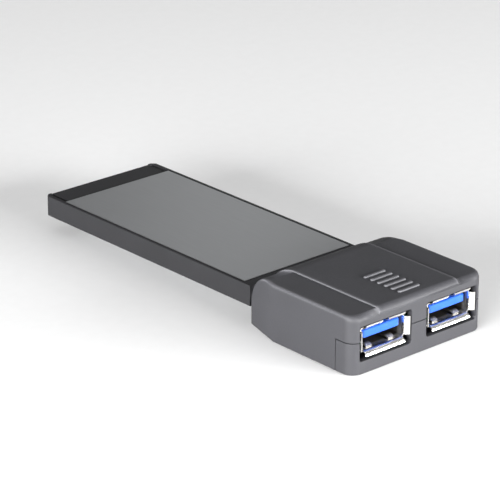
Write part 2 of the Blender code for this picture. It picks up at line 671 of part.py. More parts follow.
def chip(name, size, place, parent, finish="chip_epoxy", legs=0):
    """Moulded package on the board, with gull-wing legs along its two long sides if it has any."""
    width, length, height = size
    ease = min(0.15, height / 4)
    lift = 0.1 if legs else 0.0
    loops = []
    for level, draw in ((lift, 0.0), (height - ease, 0.0), (height, ease)):
        across = width / 2 - draw
        along = length / 2 - draw
        corners = ((-across, -along), (across, -along), (across, along), (-across, along))
        loops.append([(x, y, level) for x, y in corners])
    body = loft(loops)
    for index in range(legs):
        place_x = (index - (legs - 1) / 2) * width / legs
        for outward in (1, -1):
            path = [(outward * (length / 2 - 0.3), height / 2), (outward * (length / 2 + 0.35), height / 2),
                    (outward * (length / 2 + 0.5), 0.1), (outward * (length / 2 + 1.0), 0.1)]
            leg = bent_strip(path, 0.15, place_x, width / legs * 0.4)
            bmesh.ops.recalc_face_normals(leg, faces=leg.faces)
            body = combine(body, "UNION", leg)
    add_part(name, body, finish, parent, (place[0], place[1], BOARD_TOP + SOLDER_GAP))


def bulk_capacitor(side, middle, parent):
    """Aluminium can on a square base, rolled in near its foot."""
    radius = 2.5
    height = 5.0
    profile = [(radius - 0.1, 0.5), (radius, 0.7), (radius, 1.1), (radius - 0.2, 1.3),
               (radius, 1.5), (radius, height - 0.25), (radius - 0.25, height)]
    can = turned(profile)
    base = rounded_rectangle(2 * radius + 0.3, 2 * radius + 0.3, 0.6, 1)
    body = combine(can, "UNION", prism(base, 0.0, 0.7))
    place = (middle, SHELL_END + 7.4, BOARD_TOP + SOLDER_GAP)
    add_part("bulk_capacitor_" + side, body, "can_aluminium", parent, place)


def power_inductor(place, parent):
    """Square ferrite base with a round wound drum on it."""
    body = prism(rounded_rectangle(4.0, 4.0, 0.5, 2), 0.0, 0.8)
    drum = turned([(1.6, 0.6), (1.6, 1.2), (1.85, 1.3), (1.85, 1.6), (1.7, 1.75)])
    body = combine(body, "UNION", drum)
    add_part("power_inductor", body, "ferrite_grey", parent, (*place, BOARD_TOP + SOLDER_GAP))


def components(parent):
    """Everything soldered to the board besides the sockets."""
    card = CARD_START + COLLAR_LENGTH
    chip("host_controller", (9.0, 9.0, 0.9), (0.0, card + 31.0), parent)
    chip("controller_crystal", (3.2, 2.5, 0.7), (-8.6, card + 34.0), parent, "can_aluminium")
    chip("firmware_chip", (4.9, 3.9, 1.5), (8.8, card + 40.0), parent, "chip_epoxy", 4)
    chip("core_regulator", (3.0, 3.0, 0.9), (9.5, card + 21.0), parent)
    chip("core_capacitor", (3.5, 2.8, 1.7), (-8.5, card + 15.0), parent, "tantalum_yellow")
    power_inductor((9.0, card + 13.5), parent)
    for side, middle in port_places():
        fold = -1 if side == "left" else 1
        chip("power_switch_" + side, (2.9, 1.6, 1.1), (fold * 6.0, card + 7.0), parent, "chip_epoxy", 3)
        chip("port_fuse_" + side, (3.2, 2.5, 0.7), (fold * 2.6, SHELL_END + 12.2), parent, "fuse_green")
        chip("surge_array_" + side, (2.5, 1.0, 0.6), (fold * 2.4, SHELL_END + 5.2), parent)
        chip("line_choke_" + side, (2.0, 1.2, 1.0), (fold * 2.4, SHELL_END + 8.4), parent, "ferrite_grey")
        bulk_capacitor(side, fold * 8.0, parent)


# ---- card ------------------------------------------------------------------------------------
def card_frame(parent):
    """Moulded frame: neck in the housing, collar, and two rails that guide the card."""
    half = CARD_WIDTH / 2
    collar_end = CARD_START + COLLAR_LENGTH
    body = block((-half, CARD_START, CARD_BASE), (half, collar_end, CARD_TOP))
    neck = block((-NECK_HALF, HOUSING_LENGTH - NECK_LENGTH, CARD_BASE + NECK_FIT),
                 (NECK_HALF, CARD_START + 0.5, CARD_TOP - NECK_FIT))
    body = combine(body, "UNION", neck)
    rail_half = half - RAIL_WIDTH
    ledge_half = rail_half - LEDGE_WIDTH
    rest = COVER_SHEET + COVER_FIT
    for side in (1, -1):
        rail = [(side * half, collar_end - 0.5), (side * half, CARD_END - NOSE_CHAMFER),
                (side * (half - NOSE_CHAMFER), CARD_END), (side * ledge_half, CARD_END),
                (side * ledge_half, CARD_END - NOSE_BRIDGE), (side * rail_half, CARD_END - NOSE_BRIDGE),
                (side * rail_half, collar_end - 0.5)]
        body = combine(body, "UNION", prism(rail, CARD_BASE, CARD_TOP))
        near, far = sorted((side * ledge_half, side * (half - RAIL_WIDTH / 2)))
        ledge = block((near, collar_end - 0.5, CARD_BASE + rest),
                      (far, CARD_END - NOSE_BRIDGE / 2, CARD_TOP - rest))
        body = combine(body, "UNION", ledge)
    slot_half = NECK_HALF - COLLAR_WALL
    slot = block((-slot_half, HOUSING_LENGTH - NECK_LENGTH - 1, BOARD_BASE - BOARD_FIT),
                 (slot_half, collar_end + 1, CARD_TOP - NECK_FIT - COLLAR_WALL))
    body = combine(body, "DIFFERENCE", slot)
    add_part("card_frame", body, "card_abs", parent)


def card_cover(name, up, parent):
    """Steel cover with its long edges folded inwards, flush with the rails."""
    half = CARD_WIDTH / 2 - RAIL_WIDTH - COVER_FIT
    inner = CARD_WIDTH / 2 - RAIL_WIDTH - LEDGE_WIDTH - COVER_FIT
    face = CARD_TOP if up > 0 else CARD_BASE
    start = CARD_START + COLLAR_LENGTH + COVER_FIT
    stop = PLUG_START - COVER_FIT
    low, high = sorted((face, face - up * COVER_SHEET))
    body = block((-half, start, low), (half, stop, high))
    low, high = sorted((face - up * COVER_SHEET / 2, face - up * (COVER_SHEET + COVER_FLANGE)))
    for side in (1, -1):
        near, far = sorted((side * inner, side * (inner - COVER_SHEET)))
        flange = block((near, start + 1, low), (far, stop - 1, high))
        body = combine(body, "UNION", flange)
    add_part(name, body, "card_steel", parent)


def card_connector(parent):
    """Edge connector that closes the card's nose, with one wide mouth for its contacts."""
    half = CARD_WIDTH / 2 - RAIL_WIDTH - LEDGE_WIDTH - COVER_FIT
    body = block((-half, PLUG_START, CARD_BASE + COVER_FIT),
                 (half, CARD_END - NOSE_RECESS, CARD_TOP - COVER_FIT))
    mouth_half = PLUG_WAYS * PLUG_PITCH / 2 + MOUTH_MARGIN
    middle = BOARD_TOP + MOUTH_HEIGHT / 2 - BOARD_THICKNESS
    mouth = block((-mouth_half, CARD_END - MOUTH_DEPTH, middle - MOUTH_HEIGHT / 2),
                  (mouth_half, CARD_END + 1, middle + MOUTH_HEIGHT / 2))
    body = combine(body, "DIFFERENCE", mouth)
    add_part("card_connector", body, "card_abs", parent)


# ---- whole object ----------------------------------------------------------------------------
def clear_scene():
    """Start from an empty file."""
    for leftover in list(bpy.data.objects):
        bpy.data.objects.remove(leftover)


def build():
    """Make every part of the adapter."""
    clear_scene()
    for name, (colour, roughness, metallic) in MATERIALS.items():
        material(name, colour, roughness, metallic)
    adapter = add_empty("adapter", (0.0, -TOTAL_LENGTH / 2, 0.0))
    upper_shell(adapter)
    lower_shell(adapter)
    for side, middle in screw_places():
        case_screw(side, middle, adapter)
    for side, middle in port_places():
        port = add_empty("port_" + side, (middle, 0.0, PORT_HEIGHT), adapter)
        usb_shell(side, port)
        usb_insulator(side, port)
        usb_contacts(side, port)
    main_board(adapter)
    components(adapter)
    card_frame(adapter)
    card_cover("card_top_cover", 1, adapter)
    card_cover("card_bottom_cover", -1, adapter)
    card_connector(adapter)


build()
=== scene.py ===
"""Finishes, edge contacts and a studio stage for a two-socket adapter that fits a card slot.

Everything is in metres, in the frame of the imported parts: the sockets face -Y, the card's nose
points along +Y, and the housing stands on Z = 0.
"""
import math

import bmesh
import bpy
from bpy.props import FloatProperty, FloatVectorProperty, IntProperty, PointerProperty
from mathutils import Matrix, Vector


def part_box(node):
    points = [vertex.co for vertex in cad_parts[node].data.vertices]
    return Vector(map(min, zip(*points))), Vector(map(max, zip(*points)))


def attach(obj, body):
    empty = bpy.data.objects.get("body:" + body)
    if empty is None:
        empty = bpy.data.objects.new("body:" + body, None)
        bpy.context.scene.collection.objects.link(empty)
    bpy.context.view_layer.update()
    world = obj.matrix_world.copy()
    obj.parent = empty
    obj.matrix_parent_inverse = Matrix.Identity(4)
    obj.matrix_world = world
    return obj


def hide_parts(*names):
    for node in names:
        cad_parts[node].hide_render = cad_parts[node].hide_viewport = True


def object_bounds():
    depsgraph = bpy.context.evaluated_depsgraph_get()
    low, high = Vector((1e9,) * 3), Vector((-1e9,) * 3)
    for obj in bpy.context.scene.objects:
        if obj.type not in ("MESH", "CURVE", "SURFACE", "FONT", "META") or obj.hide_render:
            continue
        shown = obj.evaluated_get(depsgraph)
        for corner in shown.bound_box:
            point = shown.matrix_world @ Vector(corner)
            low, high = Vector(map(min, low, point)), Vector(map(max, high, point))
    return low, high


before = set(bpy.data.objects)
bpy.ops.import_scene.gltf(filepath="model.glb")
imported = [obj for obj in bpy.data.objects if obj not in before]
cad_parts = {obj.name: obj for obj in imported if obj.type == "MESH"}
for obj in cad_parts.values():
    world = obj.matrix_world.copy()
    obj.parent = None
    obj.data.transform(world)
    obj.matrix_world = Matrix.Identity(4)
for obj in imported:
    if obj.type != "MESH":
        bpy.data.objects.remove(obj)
CAD_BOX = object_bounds()

bl_info = {
    "name": "Card Slot Adapter Finishes",
    "version": (1, 0, 0),
    "blender": (4, 5, 0),
    "location": "3D View > Sidebar > Adapter",
    "description": "Finishes, edge contacts and a stage for a card slot adapter",
    "category": "Object",
}

MM = 0.001
BODY = "root"
PORTS = ("left", "right")
MOUTH = CAD_BOX[0].y            # the housing's front, level with the sockets' lips
LID_TOP = CAD_BOX[1].z

# sockets of a Mix node, which share their names and so go by number
VALUE_A = 2
VALUE_B = 3
COLOUR_A = 6
COLOUR_B = 7
MIXED_VALUE = 0
MIXED_COLOUR = 2

# ---- painted highlight along the lid's top edges -----------------------------------------------
HIGHLIGHT_REACH = 0.9 * MM            # how far from an edge the painted highlight can reach
HIGHLIGHT_EDGE = (0.94, 0.70)         # share of inward rays that stay clear where the painted highlight starts, and where it is full
HIGHLIGHT_HEIGHT = (LID_TOP - 2.3 * MM, LID_TOP - 1.6 * MM)   # the painted highlight fades in between these heights

# ---- sockets and their contacts ----------------------------------------------------------------
THROAT = (MOUTH + 1.4 * MM, MOUTH + 3.2 * MM)   # between these depths the plating turns rougher and its colour darkens as painted shade
WIDE_CONTACTS = 4               # in each socket
NARROW_CONTACTS = 5

# ---- easing of the mouldings -------------------------------------------------------------------
CRISP_ANGLE = math.radians(40)  # edges sharper than this are eased
FLAT_ANGLE = math.radians(0.4)  # facets closer than this are one flat face
WELD = 0.0005 * MM
ROOM_FOR_EASE = 1.4             # an eased edge's faces are wider than this many radii
CARD_EASE = 0.8                 # the card's radius, as a share of the housing's

# ---- edge contacts in the card's nose ----------------------------------------------------------
STRIP_THICKNESS = 0.12 * MM
STRIP_SETBACK = 0.35 * MM       # from the nose's front face to the tip of a strip
# how many millimetres behind its tip and above the mouth's floor a strip bends
STRIP_BENDS = ((0.0, 0.03), (0.3, 0.14), (1.2, 0.30), (2.0, 0.16), (4.2, 0.06))

# ---- stage -------------------------------------------------------------------------------------
FLOOR_HALF = 4.0
FLOOR_GAP = 0.02 * MM
SOFTBOX = (0.9, 0.3)
LEFT_PLACE = (-1.00, -0.28, 0.19)
RIGHT_PLACE = (0.28, -1.00, 0.19)
GLEAM_STRIP = (0.08, 0.5)
GLEAM_PLACES = {"rear_right": (0.73, 0.83, 0.46), "rear_left": (-0.73, 0.83, 0.46),
                "right": (1.10, 0.05, 0.46)}
TOP_PANEL = (2.6, 2.6)
TOP_PLACE = (0.0, 0.0, 1.1)


# ---- colour and node helpers -------------------------------------------------------------------
def linear(code):
    """Linear RGBA from an sRGB hex code."""
    values = [int(code[place:place + 2], 16) / 255 for place in (1, 3, 5)]
    spread = [value / 12.92 if value <= 0.04045 else ((value + 0.055) / 1.055) ** 2.4 for value in values]
    return (*spread, 1.0)


def along_y(width, length):
    """Texture scale for marks of this width that run this far along Y."""
    return 1 / width, 1 / length, 1 / width


def add(tree, kind, settings=None, links=None):
    """Add one shader node with its settings and the sockets that feed it."""
    node = tree.nodes.new("ShaderNode" + kind)
    for name, value in (settings or {}).items():
        if isinstance(name, str) and hasattr(node, name):
            setattr(node, name, value)
        else:
            node.inputs[name].default_value = value
    for name, source in (links or {}).items():
        tree.links.new(source, node.inputs[name])
    return node


def new_material(name):
    """Node material with a Principled shader; returns the material, its tree and the shader."""
    made = bpy.data.materials.new(name)
    made.use_nodes = True
    tree = made.node_tree
    return made, tree, tree.nodes["Principled BSDF"]


def texture_surface(tree, shader, pattern, smooth, dull, strength, depth):
    """Let one pattern vary the roughness between two values and raise the surface by a depth."""
    rough = add(tree, "MapRange", {"To Min": smooth, "To Max": dull}, {"Value": pattern})
    bump = add(tree, "Bump", {"Strength": strength, "Distance": depth}, {"Height": pattern})
    tree.links.new(rough.outputs["Result"], shader.inputs["Roughness"])
    tree.links.new(bump.outputs["Normal"], shader.inputs["Normal"])


# ---- materials ---------------------------------------------------------------------------------
def painted_highlight_share(tree, place):
    """Share of painted highlight on the lid: full along its outward top edges, and none on its sides."""
    thin = add(tree, "AmbientOcclusion", {"inside": True, "only_local": True, "samples": 8,
                                          "Distance": HIGHLIGHT_REACH})
    edge = add(tree, "MapRange", {"From Min": HIGHLIGHT_EDGE[0], "From Max": HIGHLIGHT_EDGE[1]},
               {"Value": thin.outputs["AO"]})
    height = add(tree, "SeparateXYZ", None, {"Vector": place})
    high = add(tree, "MapRange", {"From Min": HIGHLIGHT_HEIGHT[0], "From Max": HIGHLIGHT_HEIGHT[1]},
               {"Value": height.outputs["Z"]})
    both = add(tree, "Math", {"operation": "MULTIPLY"}, {0: edge.outputs["Result"],
                                                         1: high.outputs["Result"]})
    return both.outputs["Value"]


def moulded_abs(name, dark, light, grain, relief, edge_highlight=None):
    """ABS moulded against a spark-eroded tool: a fine even grain that scatters every highlight.

    A painted highlight can be laid along the lid's top edges, so they read as thin lighter lines. The real
    grain is about 0.1 mm across, too fine to show, and is drawn about three times as coarse.
    """
    made, tree, shader = new_material(name)
    place = add(tree, "TexCoord").outputs["Object"]
    cloud = add(tree, "TexNoise", {"Scale": 1 / (9.0 * MM), "Detail": 2.0}, {"Vector": place})
    pits = add(tree, "TexNoise", {"Scale": 1 / grain, "Detail": 3.0, "Roughness": 0.6}, {"Vector": place})
    tone = add(tree, "Mix", {"data_type": "RGBA", COLOUR_A: dark, COLOUR_B: light},
               {"Factor": cloud.outputs["Fac"]})
    # painted highlight: a lighter tone along the lid's top edges
    if edge_highlight is not None:
        tone = add(tree, "Mix", {"data_type": "RGBA", COLOUR_B: edge_highlight},
                   {"Factor": painted_highlight_share(tree, place), COLOUR_A: tone.outputs[MIXED_COLOUR]})
    tree.links.new(tone.outputs[MIXED_COLOUR], shader.inputs["Base Color"])
    texture_surface(tree, shader, pits.outputs["Fac"], 0.50, 0.66, 0.35, relief)
    shader.inputs["IOR"].default_value = 1.54
    # the pits shade each other at a low angle, so the sheen is weaker than on smooth ABS
    shader.inputs["Specular IOR Level"].default_value = 0.34
    return made


def plated_nickel(dark, light):
    """Stamped steel with bright nickel over it: near-mirror lips that turn rougher down the throat, where
    the colour is darkened as painted shade.

    The rolled sheet's streaks are about 0.02 mm apart, too fine to show, and are drawn coarser.
    """
    made, tree, shader = new_material("nickel_plated_stamped_steel")
    place = add(tree, "TexCoord").outputs["Object"]
    along = add(tree, "Mapping", {"Scale": along_y(0.12 * MM, 2.5 * MM)}, {"Vector": place})
    streak = add(tree, "TexNoise", {"Scale": 1.0, "Detail": 3.0}, {"Vector": along.outputs["Vector"]})
    cloud = add(tree, "TexNoise", {"Scale": 1 / (1.6 * MM), "Detail": 2.0}, {"Vector": place})
    depth = add(tree, "SeparateXYZ", None, {"Vector": place})
    # share of painted shade down the throat, which also makes the plating rougher there
    dull = add(tree, "MapRange", {"From Min": THROAT[0], "From Max": THROAT[1]},
               {"Value": depth.outputs["Y"]})
    bright = add(tree, "Mix", {"data_type": "RGBA", COLOUR_A: dark, COLOUR_B: light},
                 {"Factor": cloud.outputs["Fac"]})
    # painted shade: the throat's colour darkens to this grey
    tone = add(tree, "Mix", {"data_type": "RGBA", COLOUR_B: linear("#4a4640")},
               {"Factor": dull.outputs["Result"], COLOUR_A: bright.outputs[MIXED_COLOUR]})
    rough = add(tree, "MapRange", {"To Min": 0.20, "To Max": 0.30}, {"Value": streak.outputs["Fac"]})
    spread = add(tree, "Mix", {VALUE_B: 0.62},
                 {"Factor": dull.outputs["Result"], VALUE_A: rough.outputs["Result"]})
    bump = add(tree, "Bump", {"Strength": 0.05, "Distance": 0.01 * MM}, {"Height": streak.outputs["Fac"]})
    tree.links.new(tone.outputs[MIXED_COLOUR], shader.inputs["Base Color"])
    tree.links.new(spread.outputs[MIXED_VALUE], shader.inputs["Roughness"])
    tree.links.new(bump.outputs["Normal"], shader.inputs["Normal"])
    shader.inputs["Metallic"].default_value = 1.0
    return made


def moulded_blue(dark, light):
    """Glass-filled thermoplastic, moulded: satin blue with faint flow marks along the tongue.

    The glass fibres are about 0.01 mm thick, so the grain that they leave is drawn coarser.
    """
    made, tree, shader = new_material("glass_filled_blue_thermoplastic")
    place = add(tree, "TexCoord").outputs["Object"]
    along = add(tree, "Mapping", {"Scale": along_y(0.5 * MM, 3.0 * MM)}, {"Vector": place})
    flow = add(tree, "TexNoise", {"Scale": 1.0, "Detail": 2.0}, {"Vector": along.outputs["Vector"]})
    grain = add(tree, "TexNoise", {"Scale": 1 / (0.15 * MM), "Detail": 2.0}, {"Vector": place})
    tone = add(tree, "Mix", {"data_type": "RGBA", COLOUR_A: dark, COLOUR_B: light},
               {"Factor": flow.outputs["Fac"]})
    tree.links.new(tone.outputs[MIXED_COLOUR], shader.inputs["Base Color"])
    texture_surface(tree, shader, grain.outputs["Fac"], 0.28, 0.42, 0.15, 0.01 * MM)
    shader.inputs["IOR"].default_value = 1.57
    return made


def rolled_metal(name, dark, light, smooth, dull, width, length):
    """Bare rolled metal: long fine streaks that widen highlights across the rolling direction.

    Real streaks are 0.01 to 0.03 mm apart, too fine to show, and are drawn coarser.
    """
    made, tree, shader = new_material(name)
    place = add(tree, "TexCoord").outputs["Object"]
    along = add(tree, "Mapping", {"Scale": along_y(width, length)}, {"Vector": place})
    streak = add(tree, "TexNoise", {"Scale": 1.0, "Detail": 4.0, "Roughness": 0.65},
                 {"Vector": along.outputs["Vector"]})
    tone = add(tree, "Mix", {"data_type": "RGBA", COLOUR_A: dark, COLOUR_B: light},
               {"Factor": streak.outputs["Fac"]})
    tree.links.new(tone.outputs[MIXED_COLOUR], shader.inputs["Base Color"])
    texture_surface(tree, shader, streak.outputs["Fac"], smooth, dull, 0.2, 0.01 * MM)
    shader.inputs["Metallic"].default_value = 1.0
    return made


def solder_mask():
    """Glass-epoxy board under green solder mask: glossy, with the weave and buried tracks showing."""
    made, tree, shader = new_material("solder_mask_on_glass_epoxy")
    place = add(tree, "TexCoord").outputs["Object"]
    # bands of this scale are 0.63 mm apart, the thread spacing of heavy glass cloth
    weave = add(tree, "TexWave", {"Scale": 1 / (2.0 * MM), "Distortion": 0.4}, {"Vector": place})
    # a brick's row is a quarter of this high, which draws tracks 0.75 mm apart
    track = add(tree, "TexBrick", {"Scale": 1 / (3.0 * MM), "Mortar Size": 0.03}, {"Vector": place})
    soft = add(tree, "MapRange", {"To Min": 0.3, "To Max": 0.7}, {"Value": weave.outputs["Fac"]})
    base = add(tree, "Mix", {"data_type": "RGBA", COLOUR_A: linear("#0d4a24"), COLOUR_B: linear("#14602f")},
               {"Factor": soft.outputs["Result"]})
    tone = add(tree, "Mix", {"data_type": "RGBA", COLOUR_B: linear("#2a7a45")},
               {"Factor": track.outputs["Fac"], COLOUR_A: base.outputs[MIXED_COLOUR]})
    bump = add(tree, "Bump", {"Strength": 0.2, "Distance": 0.02 * MM}, {"Height": track.outputs["Fac"]})
    tree.links.new(tone.outputs[MIXED_COLOUR], shader.inputs["Base Color"])
    tree.links.new(bump.outputs["Normal"], shader.inputs["Normal"])
    shader.inputs["Roughness"].default_value = 0.3
    return made


def matt_compound(name, dark, light, speck, smooth, dull):
    """Pressed or transfer-moulded compound: matt, with a fine speckle of filler.

    Filler grains are under 0.1 mm, and the speckle is drawn coarser so that it shows.
    """
    made, tree, shader = new_material(name)
    place = add(tree, "TexCoord").outputs["Object"]
    speckle = add(tree, "TexNoise", {"Scale": 1 / speck, "Detail": 4.0}, {"Vector": place})
    tone = add(tree, "Mix", {"data_type": "RGBA", COLOUR_A: linear(dark), COLOUR_B: linear(light)},
               {"Factor": speckle.outputs["Fac"]})
    tree.links.new(tone.outputs[MIXED_COLOUR], shader.inputs["Base Color"])
    texture_surface(tree, shader, speckle.outputs["Fac"], smooth, dull, 0.25, 0.01 * MM)
    return made


def painted_floor():
    """Matt paint rolled on board: pale, with the faintest mottle, about 3 mm across."""
    made, tree, shader = new_material("matt_paint_on_board")
    place = add(tree, "TexCoord").outputs["Object"]
    mottle = add(tree, "TexNoise", {"Scale": 1 / (3.0 * MM), "Detail": 2.0}, {"Vector": place})
    tone = add(tree, "Mix", {"data_type": "RGBA", COLOUR_A: linear("#f0f0f0"), COLOUR_B: linear("#f4f4f4")},
               {"Factor": mottle.outputs["Fac"]})
    tree.links.new(tone.outputs[MIXED_COLOUR], shader.inputs["Base Color"])
    shader.inputs["Roughness"].default_value = 0.75
    return made


# ---- geometry helpers --------------------------------------------------------------------------
def dress(material, *node_names):
    """Give CAD parts their finish."""
    for node_name in node_names:
        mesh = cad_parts[node_name].data
        mesh.materials.clear()
        mesh.materials.append(material)


def new_piece(name, bm, material):
    """Write a mesh as a piece that moves with the adapter."""
    mesh = bpy.data.meshes.new(name)
    bm.to_mesh(mesh)
    bm.free()
    mesh.materials.append(material)
    piece = bpy.data.objects.new(name, mesh)
    bpy.context.scene.collection.objects.link(piece)
    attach(piece, BODY)
    return piece


def room_beside(loop):
    """Narrowest width of a loop's face, measured square to the loop's edge."""
    start = loop.vert.co
    run = loop.link_loop_next.vert.co - start
    along = run.normalized()
    inward = loop.face.normal.cross(along)
    narrowest = run.length + 1.0
    for share in (0.3, 0.5, 0.7):
        point = start + run * share
        for other in loop.face.edges:
            if other is loop.edge:
                continue
            near, far = (vert.co - point for vert in other.verts)
            across = near.dot(along), far.dot(along)
            if (across[0] < 0.0) == (across[1] < 0.0):
                continue
            part = -across[0] / (across[1] - across[0])
            reach = near.lerp(far, part).dot(inward)
            if reach > 0.0:
                narrowest = min(narrowest, reach)
    return narrowest


def eased_copy(node_name, material, radius):
    """Replace a moulding by a copy whose crisp outward edges are rounded, as a mould leaves them."""
    bm = bmesh.new()
    bm.from_mesh(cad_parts[node_name].data)
    bmesh.ops.remove_doubles(bm, verts=bm.verts, dist=WELD)
    bmesh.ops.dissolve_limit(bm, angle_limit=FLAT_ANGLE, verts=bm.verts, edges=bm.edges)
    bm.normal_update()
    weights = bm.edges.layers.float.new("bevel_weight_edge")
    for edge in bm.edges:
        crisp = edge.is_manifold and edge.is_convex and edge.calc_face_angle() > CRISP_ANGLE
        if crisp and min(room_beside(loop) for loop in edge.link_loops) > ROOM_FOR_EASE * radius:
            edge[weights] = 1.0
    piece = new_piece(node_name + "_eased", bm, material)
    bevel = piece.modifiers.new("eased", "BEVEL")
    bevel.width = radius
    bevel.segments = 2
    bevel.limit_method = "WEIGHT"
    bevel.use_clamp_overlap = False
    piece.data.shade_smooth()
    weighted = piece.modifiers.new("flat_faces_stay_flat", "WEIGHTED_NORMAL")
    weighted.weight = 100
    weighted.keep_sharp = True
    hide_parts(node_name)


def spring_strip(middle, width, tip, floor):
    """Bent strip of one thickness that runs back from its tip, low over the mouth's floor."""
    bm = bmesh.new()
    rows = []
    for behind, lift in STRIP_BENDS:
        low = floor + lift * MM
        high = low + STRIP_THICKNESS
        corners = ((-width / 2, low), (width / 2, low), (width / 2, high), (-width / 2, high))
        rows.append([bm.verts.new((middle + x, tip - behind * MM, z)) for x, z in corners])
    for near, far in zip(rows, rows[1:]):
        for corner in range(4):
            after = (corner + 1) % 4
            bm.faces.new((near[corner], near[after], far[after], far[corner]))
    bm.faces.new(rows[0])
    bm.faces.new(reversed(rows[-1]))
    bmesh.ops.recalc_face_normals(bm, faces=bm.faces)
    return bm


# ---- settings ----------------------------------------------------------------------------------
def tone_property(name, description, code):
    """Colour that a user can change, given by its hex code."""
    return FloatVectorProperty(name=name, description=description, subtype="COLOR", size=4,
                               min=0.0, max=1.0, default=linear(code))


class ADAPTER_PG_sizes(bpy.types.PropertyGroup):
    """Sizes of the finish on the mouldings and of the edge contacts."""
    grain: FloatProperty(name="Grain", description="Spacing of the moulded grain",
                         default=0.32 * MM, min=0.05 * MM, max=2.0 * MM, unit="LENGTH")
    relief: FloatProperty(name="Relief", description="Depth of the moulded grain",
                          default=0.05 * MM, min=0.0, max=0.5 * MM, unit="LENGTH")
    edge: FloatProperty(name="Edge", description="Radius left on crisp moulded edges",
                        default=0.12 * MM, min=0.02 * MM, max=0.4 * MM, unit="LENGTH")
    contacts: IntProperty(name="Contacts", description="Number of contacts in the card's nose",
                          default=26, min=1, max=60)
    pitch: FloatProperty(name="Pitch", description="Distance between card contacts",
                         default=1.0 * MM, unit="LENGTH")
    strip: FloatProperty(name="Strip width", description="Width of each card contact",
                         default=0.5 * MM, unit="LENGTH")


class ADAPTER_PG_colours(bpy.types.PropertyGroup):
    """The two tones between which each visible finish wanders."""
    housing_dark: tone_property("Housing dark", "Darker grey of the housing's plastic", "#343437")
    housing_light: tone_property("Housing light", "Lighter grey of the housing's plastic", "#3a3a3e")
    # colour of the painted highlight along the lid's top edges
    housing_edge_highlight: tone_property("Housing edge highlight", "Painted highlight along the lid's top edges", "#626266")
    card_dark: tone_property("Card dark", "Darker black of the card's plastic", "#1b1b1d")
    card_light: tone_property("Card light", "Lighter black of the card's plastic", "#232326")
    cover_dark: tone_property("Cover dark", "Darker tone of the steel covers", "#a9abad")
    cover_light: tone_property("Cover light", "Lighter tone of the steel covers", "#c6c8ca")
    nickel_dark: tone_property("Nickel dark", "Darker tone of the socket shells", "#e4e1dc")
    nickel_light: tone_property("Nickel light", "Lighter tone of the socket shells", "#f6f5f2")
    tongue_dark: tone_property("Tongue dark", "Darker blue of the tongues", "#1449ba")
    tongue_light: tone_property("Tongue light", "Lighter blue of the tongues", "#2163d6")
    gold_dark: tone_property("Gold dark", "Darker tone of the contacts", "#d8a850")
    gold_light: tone_property("Gold light", "Lighter tone of the contacts", "#f0c978")


class ADAPTER_PG_stage(bpy.types.PropertyGroup):
    """Camera and light."""
    camera: FloatVectorProperty(name="Camera", description="Place of the camera", subtype="XYZ",
                                unit="LENGTH", default=(-0.3853, -0.4366, 0.2458))
    lens: FloatProperty(name="Lens", description="Focal length in millimetres", default=196.0)
    left_power: FloatProperty(name="Left", description="Power of the left softbox",
                              default=31.0, unit="POWER")
    right_power: FloatProperty(name="Right", description="Power of the right softbox",
                               default=30.0, unit="POWER")
    gleam_power: FloatProperty(name="Gleam", description="Power of each strip that the covers mirror",
                               default=0.14, unit="POWER")
    top_power: FloatProperty(name="Top", description="Power of the dim panel overhead",
                             default=8.0, unit="POWER")
    sky: FloatProperty(name="Sky", description="Strength of the surrounding light", default=0.22)


# ---- operators ---------------------------------------------------------------------------------
class ADAPTER_OT_housing(bpy.types.Operator):
    """Ease and finish the two housing shells, and blacken their screws"""
    bl_idname = "adapter.housing"
    bl_label = "Housing"

    def execute(self, context):
        sizes = context.scene.adapter_sizes
        colours = context.scene.adapter_colours
        plastic = moulded_abs("spark_eroded_grey_abs", colours.housing_dark, colours.housing_light,
                              sizes.grain, sizes.relief, colours.housing_edge_highlight)
        oxide = rolled_metal("black_oxide_steel", linear("#26262a"), linear("#3a3a3e"), 0.35, 0.50,
                             0.1 * MM, 0.4 * MM)
        for node_name in ("upper_shell", "lower_shell"):
            eased_copy(node_name, plastic, sizes.edge)
        for side in PORTS:
            dress(oxide, "case_screw_" + side)
        return {"FINISHED"}


class ADAPTER_OT_sockets(bpy.types.Operator):
    """Finish the sockets: plated shells, blue insulators and gold contacts"""
    bl_idname = "adapter.sockets"
    bl_label = "Sockets"

    def execute(self, context):
        colours = context.scene.adapter_colours
        nickel = plated_nickel(colours.nickel_dark, colours.nickel_light)
        blue = moulded_blue(colours.tongue_dark, colours.tongue_light)
        gold = rolled_metal("gold_flashed_copper_alloy", colours.gold_dark, colours.gold_light,
                            0.18, 0.32, 0.06 * MM, 1.0 * MM)
        for side in PORTS:
            dress(nickel, "usb_shell_" + side)
            dress(blue, "usb_insulator_" + side)
            dress(gold, *(f"usb_contact_{side}_{number + 1}" for number in range(WIDE_CONTACTS)))
            dress(gold, *(f"fast_contact_{side}_{number + 1}" for number in range(NARROW_CONTACTS)))
        return {"FINISHED"}


class ADAPTER_OT_card(bpy.types.Operator):
    """Ease and finish the card's frame and nose, and finish its steel covers"""
    bl_idname = "adapter.card"
    bl_label = "Card"

    def execute(self, context):
        sizes = context.scene.adapter_sizes
        colours = context.scene.adapter_colours
        black = moulded_abs("moulded_black_abs", colours.card_dark, colours.card_light,
                            sizes.grain * 0.8, sizes.relief * 0.6)
        steel = rolled_metal("rolled_stainless_sheet", colours.cover_dark, colours.cover_light,
                             0.32, 0.48, 0.09 * MM, 9.0 * MM)
        for node_name in ("card_frame", "card_connector"):
            eased_copy(node_name, black, sizes.edge * CARD_EASE)
        dress(steel, "card_top_cover", "card_bottom_cover")
        return {"FINISHED"}


